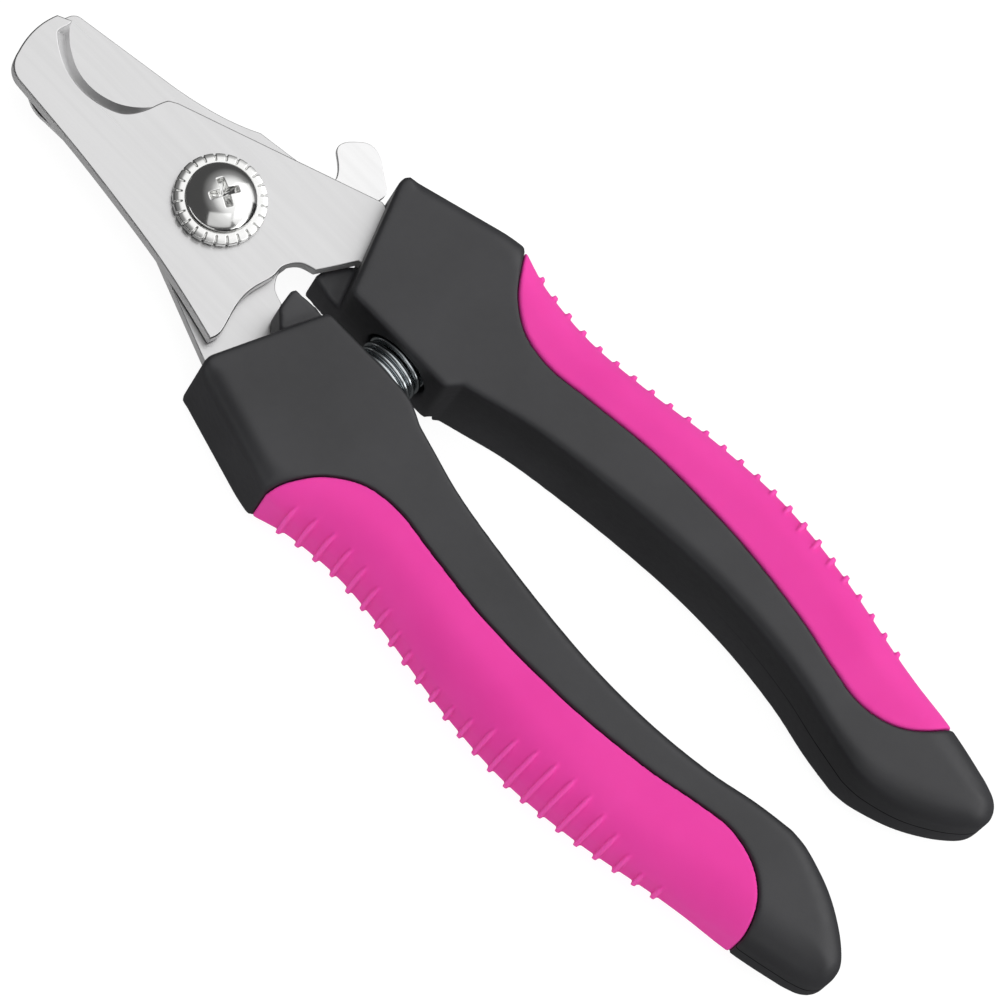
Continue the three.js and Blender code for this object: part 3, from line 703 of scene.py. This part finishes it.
def lock_recess(px, py, z, radius):
    x, y = LOCK_PIVOT
    outline = np.vstack([
        [(x + 3.6, y - radius)], [(x + 3.6, y)], arc(LOCK_PIVOT, 3.6, 0, math.pi / 2), [(x - radius, y + 3.6)],
        arc(LOCK_PIVOT, radius, math.pi, 1.5 * math.pi),
    ])
    return both(plan_distance(outline, px, py)[:, :, None], z - RECESS_FLOOR, 0.4)


def core_shape(x, y, z, px, py, outline):
    """Core with its rail, ear and tang slot, as on the lower handle."""
    plan = plan_distance(outline, px, py)[:, :, None]
    area = plan_distance(GRIP_AREA, px, py)[:, :, None]
    body = without(blank_field(x, y, z, plan), area - GRIP_SPLIT, 0.3)
    rail = both(rail_field(x, y, z, 0), area - 2, 0.3)
    slope = (z - 6.3) * 0.949 - (x + 18) * 0.315
    ear = both(both(plan_distance(EAR, px, py)[:, :, None], between(z, 0, 7.2), 0.4), slope, 0.4)
    whole = either(either(body, rail, 0.3), ear, 0.4)
    slot = both(plan_distance(TANG, px, py)[:, :, None] - 0.25, between(z, -GAP / 2 - BLADE - 0.22, 0.08), 0.1)
    return without(whole, slot, 0.15)


def lower_field(x, y, z, px, py):
    made = core_shape(x, y, z, px, py, HANDLE)
    made = without(made, spring_pocket(x, y, z, 1), 0.5)
    made = without(made, lock_recess(px, py, z, 18.1), 0.3)
    return without(made, both(cylinder(x, y, LOCK_PIVOT, RIVET_HOLE), z + 2.2, 0.2), 0.2)


def upper_field(x, y, z, px, py):
    made = core_shape(x, -y, -z, px, -py, BOXED_HANDLE)
    made = without(made, spring_pocket(x, y, z, -1), 0.5)
    made = without(made, lock_recess(px, py, z, 19.9), 0.3)
    return without(made, both(cylinder(x, y, LOCK_CATCH, 1.8), z + 3.2, 0.2), 0.2)


CORE_STEP = (0.4, 0.36, 0.36)
GRIP_STEP = (0.18, 0.34, 0.34)


def add_handles():
    shape = skin(lower_field, (-129, 1.5, -HALF), (-14, 26, HALF), CORE_STEP)
    lower = new_object("lower_handle_body", *shape, BLACK, "black_plastic")
    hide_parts("lower_handle_core")
    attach(lower, "lower_handle")
    shape = skin(upper_field, (-129, -26, -HALF), (-14, -1.5, HALF), CORE_STEP)
    upper = new_object("upper_handle_body", *shape, BLACK, "black_plastic")
    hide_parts("upper_handle_core")
    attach(upper, "upper_handle")
    grip = skin(grip_field, (-118, 11, -HALF), (-31, 27.4, HALF), GRIP_STEP)
    # How far each point of a grip stands proud of the smooth handle tells the ribs from the rest; their proud
    # parts get a lighter pink, a painted highlight on the rib tops.
    x, y, z = grip[0].T
    proud = blank_field(x, y, z, plan_distance(HANDLE, x, y))
    painted_rib_highlight = ease(0.10, 0.42, proud)
    for name, shape, node, body in (("lower_soft_grip", grip, "lower_grip", "lower_handle"),
                                    ("upper_soft_grip", turned(grip), "upper_grip", "upper_handle")):
        made = new_object(name, *shape, PINK, "pink_rubber")
        share = made.data.attributes.new("painted_rib_highlight", "FLOAT", "POINT")
        share.data.foreach_set("value", painted_rib_highlight.astype(np.float32))
        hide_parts(node)
        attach(made, body)


# ---------- blades ----------
MOUTH = [(28.4, -1.1), (25.3, 0.5), (22, 0.8), (18.7, -0.2), (16.1, -2.3), (14.3, -5)]
RELIEF = [(-12.7, 12.4), (-11.5, 8.2), (-11.3, 5.4), (-11.9, 2), (-11.9, -0.2), (-13.1, -2.1), (-15.1, -2.9)]
TANG_BACK = [(-18, -8), (-24, -8.9), (-40, -10.5), (-40, -12.9), (-24, -15.1), (-14.4, -16.4)]
COUNTER = [(16.8, 2.8), (19.2, 1.6), (22.3, 1.2), (25.6, 1.5), (28.6, 2.5), (30.6, 3.8)]


def cutting_weights(outline, start, end, fades=(2.0, 2.0)):
    """1 along the cutting edge between outline indices start and end, fading to 0 over a length at each end."""
    weights = np.zeros(len(outline))
    run = outline[start:end + 1]
    along = np.r_[0, np.cumsum(np.linalg.norm(np.diff(run, axis=0), axis=1))]
    weights[start:end + 1] = ease(0, fades[0], along) * ease(0, fades[1], along[-1] - along)
    return weights


def tang_hole():
    return arc((0, 0), BORE_RADIUS, 0, 2 * math.pi, 64)[:-1]


def add_blades():
    head = np.vstack([
        [(30.6, -3.2)], line((30.6, -3.2), (32.4, -2.3), 3), bend((32.4, -2.3), (33.6, 1.2), (32.2, 5.2)),
        bend((32.2, 5.2), (31.6, 7.6), (29.4, 8)),
        spline([(29.4, 8), (16, 9.2), (2, 11.1), (-6, 12.7), (-12.4, 14.3)]),
        spline([(-12.4, 14.3), *RELIEF], 8), TANG_BACK, line((-14.4, -16.4), (13.2, -5.7), 10),
        [(14.3, -5)],
    ])
    mouth = spline([(14.3, -5), *MOUTH[::-1][1:], (30.6, -3.2)], 12)[:-1]
    outline = np.vstack([head, mouth])
    weights = cutting_weights(outline, len(head) - 1, len(outline) - 1, (6.5, 1.6))
    shape = plate(outline, GAP / 2, BLADE_TOP, 0.16, [tang_hole()], weights, roll=0.25)
    front = new_object("front_blade", *shape, STEEL, "blade_steel")
    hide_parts("front_hook_blade")
    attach(front, "upper_handle")

    edge = spline([(14.4, 5), *COUNTER], 12)
    back = np.vstack([
        bend((30.6, 3.8), (33.2, 0.4), (31.6, -4.2)), bend((31.6, -4.2), (31.2, -5.2), (30.2, -5.3)),
        line((30.2, -5.3), (15.3, -7.8)), bend((15.3, -7.8), (8, -9.2), (3.3, -11.9)),
        line((3.3, -11.9), (-12.4, -14.3)), spline([(-12.4, -14.3), *[(x, -y) for x, y in RELIEF]], 8),
        [(x, -y) for x, y in TANG_BACK], line((-14.4, 16.4), (14.4, 5), 10)[:-1],
    ])
    outline = np.vstack([[(14.4, 5)], edge, back])
    weights = cutting_weights(outline, 0, len(edge))
    points, faces, normals = plate(outline, GAP / 2, BLADE_TOP, 0.16, [tang_hole()], weights, roll=0.25)
    flip = np.array([1, 1, -1])
    rear = new_object("counter_blade", points * flip, [face[::-1] for face in faces], normals * flip,
                      STEEL, "blade_steel")
    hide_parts("rear_counter_blade")
    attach(rear, "lower_handle")

    guard_outline = np.vstack([
        arc((24.6, 2.2), 5.5, -0.45 * math.pi, 0.55 * math.pi), [(4, 6.93)],
        arc((0, 0), 8, math.pi / 3 + 0.05, 1.02 * math.pi), bend((-13.2, -12.5), (-13.4, -15.8), (-13.6, -19)),
        bend((-13.6, -19), (-13.5, -19.8), (-12.9, -20.1), 4), line((-12.9, -20.1), (-9.6, -22.4), 3),
        bend((-9.6, -22.4), (-7.4, -23.6), (-5.9, -21.8)), bend((-5.9, -21.8), (-3.6, -19.6), (-5.2, -18.4)),
        bend((-5.2, -18.4), (-7.4, -16.9), (-7.6, -15.6), 6), [(-6.4, -12)],
        bend((-6.4, -12), (-4, -7.6), (3, -7.4)), line((3, -7.4), (22, -2.9))[:-1],
    ])
    shape = plate(guard_outline, GUARD_TOP - GUARD_SHEET, GUARD_TOP, 0.12, [tang_hole()])
    guard = new_object("swing_guard", *shape, SHEET, "blade_steel")
    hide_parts("guard_plate")
    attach(guard, "guard")


# ---------- pivot hardware ----------
def screw_field(x, y, z, px, py):
    reach = np.hypot(x, y)
    top = HEAD_BOTTOM + DOME_RISE
    ball = (DOME_RADIUS**2 + DOME_RISE**2) / (2 * DOME_RISE)
    dome = both(np.sqrt(reach**2 + (z - (top - ball)) ** 2) - ball, HEAD_BOTTOM - z, 0.2)
    dome = both(dome, reach - DOME_RADIUS + 0.05, 0.3)
    turn = math.radians(63)
    u, v = x * math.cos(turn) + y * math.sin(turn), y * math.cos(turn) - x * math.sin(turn)
    depth = top - z
    narrow = 0.5 - 0.10 * depth
    length = 2.25 - 0.55 * depth
    floor = depth - 2.0 + 0.55 * reach
    first = both(both(np.abs(u) - length, np.abs(v) - narrow, 0.12), floor, 0.15)
    second = both(both(np.abs(v) - length, np.abs(u) - narrow, 0.12), floor, 0.15)
    cross = either(first, second, 0.12)
    return without(dome, cross, 0.08)


def ring_field(x, y, z, px, py):
    reach = np.hypot(x, y)
    angle = np.arctan2(y, x) * RING_TEETH / (2 * math.pi)
    tooth = np.abs(angle - np.round(angle)) * 2
    rim = RING_RADIUS - 0.28 * (1 - ease(0.06, 0.22, 1 - tooth))
    washer = both(both(reach - rim, BORE_RADIUS - reach, 0.1), between(z, RING_BOTTOM, RING_TOP), 0.18)
    slope = (z - RING_TOP) * 0.93 + (reach - 5.6) * 0.37
    washer = both(washer, slope, 0.1)
    across = (1 - tooth) * reach * math.pi / RING_TEETH
    groove = both(both(across - 0.09, 5.2 - reach, 0.1), RING_TOP - 0.45 - z, 0.1)
    return without(washer, groove, 0.08)


def nut_field(x, y, z, px, py):
    turns = (0, math.pi / 3, 2 * math.pi / 3)
    flats = np.maximum.reduce([np.abs(x * math.cos(a) + y * math.sin(a)) for a in turns])
    cone = np.hypot(x, y) * 0.5 + np.abs(z - (NUT_TOP + NUT_BOTTOM) / 2) * 0.87 - 3.42
    hexagon = both(both(flats - 4.3, between(z, NUT_BOTTOM, NUT_TOP), 0.12), cone, 0.1)
    return without(hexagon, np.hypot(x, y) - BORE_RADIUS - 0.4 * np.maximum(NUT_BOTTOM + 0.5 - z, 0), 0.1)


def add_hardware():
    head = skin(screw_field, (-DOME_RADIUS, -DOME_RADIUS, HEAD_BOTTOM),
                (DOME_RADIUS, DOME_RADIUS, HEAD_BOTTOM + DOME_RISE), (0.09, 0.09, 0.09))
    screw_head = new_object("screw_head", *head, CHROME, "bright_chrome")
    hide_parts("pivot_screw")
    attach(screw_head, "upper_handle")
    end = NUT_BOTTOM - 0.3
    top = HEAD_BOTTOM + 0.1
    shank_profile = rounded_profile([(0, end), (SHANK_RADIUS, end), (SHANK_RADIUS, top), (0, top)], 0.35)
    shank = new_object("screw_shank", *lathe(shank_profile, 64), CHROME, "bright_chrome")
    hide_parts("pivot_screw")
    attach(shank, "upper_handle")
    ring = skin(ring_field, (-RING_RADIUS, -RING_RADIUS, RING_BOTTOM), (RING_RADIUS, RING_RADIUS, RING_TOP),
                (0.1, 0.1, 0.08))
    nut = skin(nut_field, (-5, -5, NUT_BOTTOM), (5, 5, NUT_TOP), (0.12, 0.12, 0.12))
    low = WASHER_TOP - WASHER_SHEET
    corners = [(BORE_RADIUS, low + 0.2), (5.2, low), (5.2, WASHER_TOP - 0.2), (BORE_RADIUS, WASHER_TOP)]
    washer_profile = rounded_profile(corners, 0.08)
    washer = lathe([*washer_profile, washer_profile[0]], 96)
    for name, shape, node, material, slot_name in (
        ("toothed_ring", ring, "serrated_ring", CHROME, "bright_chrome"),
        ("hex_nut", nut, "pivot_nut", ZINC, "zinc_plate"),
        ("dished_washer", washer, "spring_washer", ZINC, "zinc_plate"),
    ):
        made = new_object(name, *shape, material, slot_name)
        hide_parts(node)
        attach(made, "upper_handle")


# ---------- return spring ----------
def add_spring():
    turns, sides, per_turn = 12.5, 12, 44
    steps = int(turns * per_turn)
    half_length = POCKET_DEPTH - GAP - WIRE / 2
    t = np.linspace(0, 1, steps + 1)
    angle = t * turns * 2 * math.pi
    share = t - 0.02 * np.sin(4 * math.pi * t)
    middle_x, middle_z = SPRING_PLACE
    centre = np.c_[middle_x + COIL * np.cos(angle), (2 * share - 1) * half_length,
                   middle_z + COIL * np.sin(angle)]
    along = np.gradient(centre, axis=0)
    along /= np.linalg.norm(along, axis=1)[:, None]
    outward = np.c_[np.cos(angle), np.zeros(len(t)), np.sin(angle)]
    side = np.cross(along, outward)
    side /= np.linalg.norm(side, axis=1)[:, None]
    outward = np.cross(side, along)
    points, normals = [], []
    for i in range(steps + 1):
        for k in range(sides):
            a = 2 * math.pi * k / sides
            normal = outward[i] * math.cos(a) + side[i] * math.sin(a)
            points.append(centre[i] + WIRE / 2 * normal)
            normals.append(normal)
    faces = []
    for i in range(steps):
        for k in range(sides):
            j = (k + 1) % sides
            faces.append((i * sides + k, i * sides + j, (i + 1) * sides + j, (i + 1) * sides + k))
    faces.append(tuple(reversed(range(sides))))
    faces.append(tuple(range(steps * sides, (steps + 1) * sides)))
    made = new_object("coil_spring", points, faces, np.array(normals), ZINC, "zinc_plate")
    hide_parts("return_spring")
    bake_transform(made)


# ---------- handle lock on the back ----------
def add_lock():
    half, reach = 3.1, 17.3
    catch = LOCK_CATCH[1] - LOCK_PIVOT[1]
    low, high = catch - 1.8, catch + 4.2
    outline = np.vstack([
        arc((0, 0), half, 0, math.pi), [(-half, 1.4 - reach)],
        bend((-half, 1.4 - reach), (-half, 0.2 - reach), (1 - half, 0.2 - reach), 6),
        [(half - 1.2, 0.2 - reach)],
        bend((half - 1.2, 0.2 - reach), (half - 0.2, 0.2 - reach), (half - 0.2, low), 6),
        line((half - 0.2, low), (-1.4, low), 3), bend((-1.4, low), (-2, low), (-2, low + 0.6), 5),
        line((-2, low + 0.6), (-2, high - 0.6), 3), bend((-2, high - 0.6), (-2, high), (-1.4, high + 0.2), 5),
        [(half, high + 1.6)],
    ])
    turned_back = np.c_[outline[:, 1], -outline[:, 0]] + np.array(LOCK_PIVOT)
    hole = arc(LOCK_PIVOT, RIVET_HOLE, 0, 2 * math.pi, 40)[:-1]
    lever = new_object("lock_lever_plate", *plate(turned_back, LEVER_BOTTOM, LEVER_TOP, 0.12, [hole]),
                       SHEET, "blade_steel")
    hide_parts("lock_lever")
    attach(lever, "lock")
    head = LEVER_BOTTOM - GAP
    rivet_profile = rounded_profile([(0, head - 0.45), (2.7, head - 0.45), (2.7, head), (1.3, head),
                                     (1.3, -2.6), (0, -2.6)], 0.2)
    low, high = LEVER_BOTTOM - 0.3, LEVER_BOTTOM + 3.3
    stud_profile = rounded_profile([(0, low), (1.5, low), (1.5, high), (0, high)], 0.3)
    for name, profile, place, node, body in (
        ("lock_pin", rivet_profile, LOCK_PIVOT, "lock_rivet", "lower_handle"),
        ("catch_stud", stud_profile, LOCK_CATCH, "lock_catch_stud", "upper_handle"),
    ):
        made = new_object(name, *lathe(profile, 48, place), ZINC, "zinc_plate")
        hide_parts(node)
        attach(made, body)


add_handles()
add_blades()
add_hardware()
add_spring()
add_lock()


# ---------- camera, floor and light ----------
def add_camera():
    """Long lens, above the lower handle's side, with the tips to the upper left."""
    back = Vector((-0.0518, 0.3714, 0.9270)).normalized()
    up = Vector((0.7110, -0.6380, 0.2955))
    right = up.cross(back).normalized()
    up = back.cross(right)
    width = 1000 / 7.704 * MM
    distance = 0.900
    target = Vector(PIVOT) + Vector((-53.2, 0.5, 0)) * MM
    data = bpy.data.cameras.new("camera")
    data.lens = 36 * distance / width
    data.sensor_width = 36
    data.clip_start, data.clip_end = 0.05, 20
    camera = bpy.data.objects.new("camera", data)
    rotation = Matrix((right, up, back)).transposed()
    camera.matrix_world = Matrix.Translation(target + back * distance) @ rotation.to_4x4()
    bpy.context.scene.collection.objects.link(camera)
    bpy.context.scene.camera = camera


def add_floor():
    mesh = bpy.data.meshes.new("floor")
    corners = [(-3, -3, 0), (3, -3, 0), (3, 3, 0), (-3, 3, 0)]
    mesh.from_pydata(corners, [], [(0, 1, 2, 3)])
    floor = bpy.data.objects.new("floor", mesh)
    floor.location = (0, 0, -0.00002)
    bpy.context.scene.collection.objects.link(floor)
    floor.visible_glossy = False
    material, tree, shader, where = node_material("lit_paper")
    tone = ramp(tree, noise(tree, where, 30), [(0, (0.150, 0.150, 0.150)), (1, (0.154, 0.154, 0.154))])
    tree.links.new(tone, shader.inputs["Base Color"])
    tree.links.new(tone, shader.inputs["Emission Color"])
    shader.inputs["Emission Strength"].default_value = 6.1
    shader.inputs["Roughness"].default_value = 0.9
    shader.inputs["Specular IOR Level"].default_value = 0.05
    mesh.materials.append(material)


def add_light(name, place, size, glow, target=(0, 0, 0), shines=True):
    """Soft panel with an even glow. shines tells whether it shows in glossy surfaces."""
    data = bpy.data.lights.new(name, "AREA")
    data.shape = "RECTANGLE"
    data.size, data.size_y = size
    data.energy = glow * math.pi * size[0] * size[1]
    light = bpy.data.objects.new(name, data)
    light.location = place
    light.rotation_mode = "QUATERNION"
    light.rotation_quaternion = (Vector(target) - Vector(place)).to_track_quat("-Z", "Y")
    light.visible_glossy = shines
    bpy.context.scene.collection.objects.link(light)


def add_world():
    """Studio seen in the glossy parts: bright above and behind the object, dark towards the camera's side."""
    world = bpy.data.worlds.new("studio")
    bpy.context.scene.world = world
    world.use_nodes = True
    tree = world.node_tree
    background = tree.nodes["Background"]
    where = tree.nodes.new("ShaderNodeTexCoord")
    toward = tree.nodes.new("ShaderNodeVectorMath")
    toward.operation = "DOT_PRODUCT"
    toward.inputs[1].default_value = Vector((-0.22, -0.50, 0.84)).normalized()
    tree.links.new(where.outputs["Generated"], toward.inputs[0])
    greys = [(0.0, 0.07), (0.35, 0.07), (0.62, 0.30), (0.82, 1.02), (1.0, 1.18)]
    stops = [(place, (grey,) * 3) for place, grey in greys]
    colour = ramp(tree, spread(tree, toward.outputs["Value"], 0, 1), stops)
    tree.links.new(colour, background.inputs["Color"])
    background.inputs["Strength"].default_value = 1.0


add_camera()
add_floor()
add_world()
add_light("key", (0.15, 0.3, 1.2), (1.1, 1.1), 1.6, shines=False)
add_light("upper_strip", (-0.5, 0.5, 0.7), (1.0, 0.6), 0.6)
add_light("far_panel", (-0.8, -0.8, 0.6), (2.4, 1.2), 0.7)
add_light("low_strip", (0, 1.0, 0.12), (1.6, 0.18), 1.4)
add_light("end_strip", (-1.0, -0.1, 0.22), (0.8, 0.3), 1.6)
bpy.context.scene.view_settings.view_transform = "Standard"
